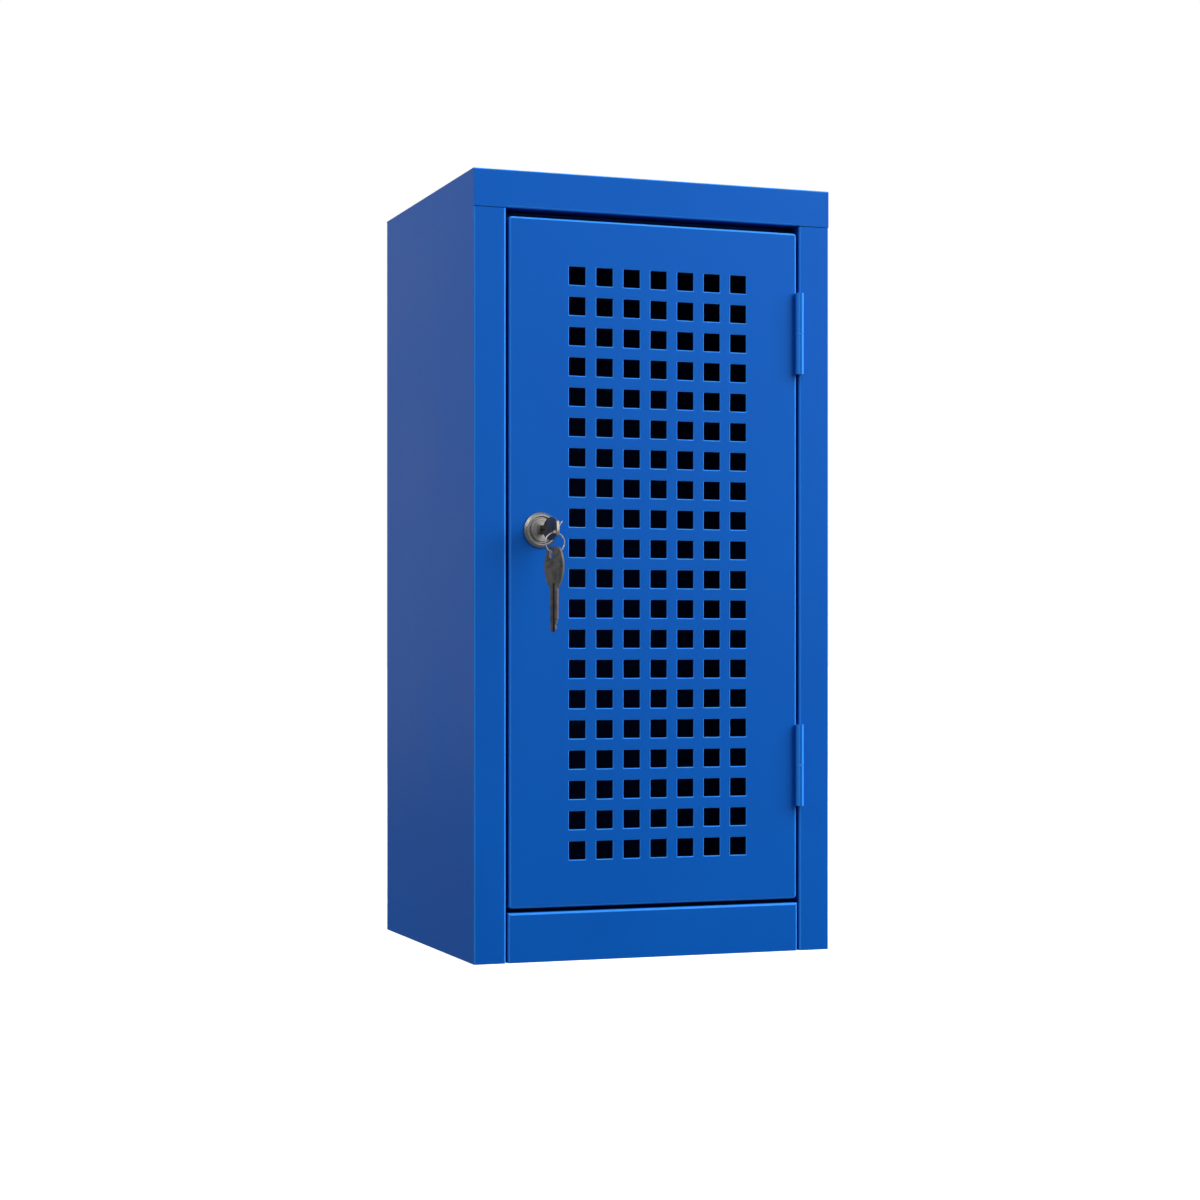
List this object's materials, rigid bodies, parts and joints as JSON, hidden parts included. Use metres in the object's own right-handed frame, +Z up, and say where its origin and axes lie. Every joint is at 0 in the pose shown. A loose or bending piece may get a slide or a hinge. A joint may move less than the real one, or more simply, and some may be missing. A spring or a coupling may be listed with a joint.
{
  "type": "perforated steel locker",
  "caption": "Small upright sheet-steel locker with a perforated hinged door, a cylinder cam lock and keys on a wire ring.",
  "frame": {"origin": "centre of the cabinet's footprint, on the underside of the floor panel", "axes": "+Z up, +Y towards the back, +X to the right of someone facing the door"},
  "size_m": [0.293, 0.2968, 0.6],
  "materials": {
    "blue_powder_coat": "satin powder coat",
    "satin_nickel": "satin nickel plate",
    "key_nickel": "worn nickel plate",
    "zinc_steel": "bright zinc plate",
    "black_rubber": "matte"
  },
  "bodies": {
    "cabinet": {"left_side_panel": "blue_powder_coat", "right_side_panel": "blue_powder_coat", "top_panel": "blue_powder_coat", "back_panel": "blue_powder_coat", "floor_panel": "blue_powder_coat", "plinth_panel": "blue_powder_coat", "lower_hinge_frame_half": "blue_powder_coat", "lower_hinge_pin": "zinc_steel", "lower_hinge_washer": "zinc_steel", "upper_hinge_frame_half": "blue_powder_coat", "upper_hinge_pin": "zinc_steel", "upper_hinge_washer": "zinc_steel", "lower_door_buffer": "black_rubber", "upper_door_buffer": "black_rubber"},
    "door": {"door_panel": "blue_powder_coat", "lower_hinge_door_half": "blue_powder_coat", "upper_hinge_door_half": "blue_powder_coat", "lock_rosette": "satin_nickel", "lock_housing": "satin_nickel", "lock_nut": "zinc_steel"},
    "plug": {"lock_plug": "satin_nickel", "lock_cam": "zinc_steel", "cam_washer": "zinc_steel", "cam_screw": "zinc_steel"},
    "key": {"inserted_key": "key_nickel"},
    "ring": {"key_ring": "key_nickel"},
    "spare": {"spare_key": "key_nickel"}
  },
  "joints": [
    {"name": "door_swing", "type": "hinge", "parent": "cabinet", "child": "door", "pos_m": [0.12, -0.1298, 0.316], "axis": [0, 0, 1], "range_deg": [0, 180]},
    {"name": "lock_turn", "type": "hinge", "parent": "door", "child": "plug", "pos_m": [-0.0936, -0.127, 0.3278], "axis": [0, -1, 0], "range_deg": [0, 90]},
    {"name": "key_pull", "type": "slide", "parent": "plug", "child": "key", "axis": [0, -1, 0], "range_m": [0, 0.026]},
    {"name": "ring_turn", "type": "hinge", "parent": "key", "child": "ring", "pos_m": [-0.0936, -0.16, 0.31698], "axis": [0, -1, 0], "range_deg": [-90, 0]},
    {"name": "spare_key_swing", "type": "hinge", "parent": "ring", "child": "spare", "pos_m": [-0.09617, -0.16, 0.30993], "axis": [0.9397, 0, -0.342], "range_deg": [-20, 20]}
  ],
  "couplings": [
    {"joint": "ring_turn", "follows": "lock_turn", "ratio": -1}
  ]
}
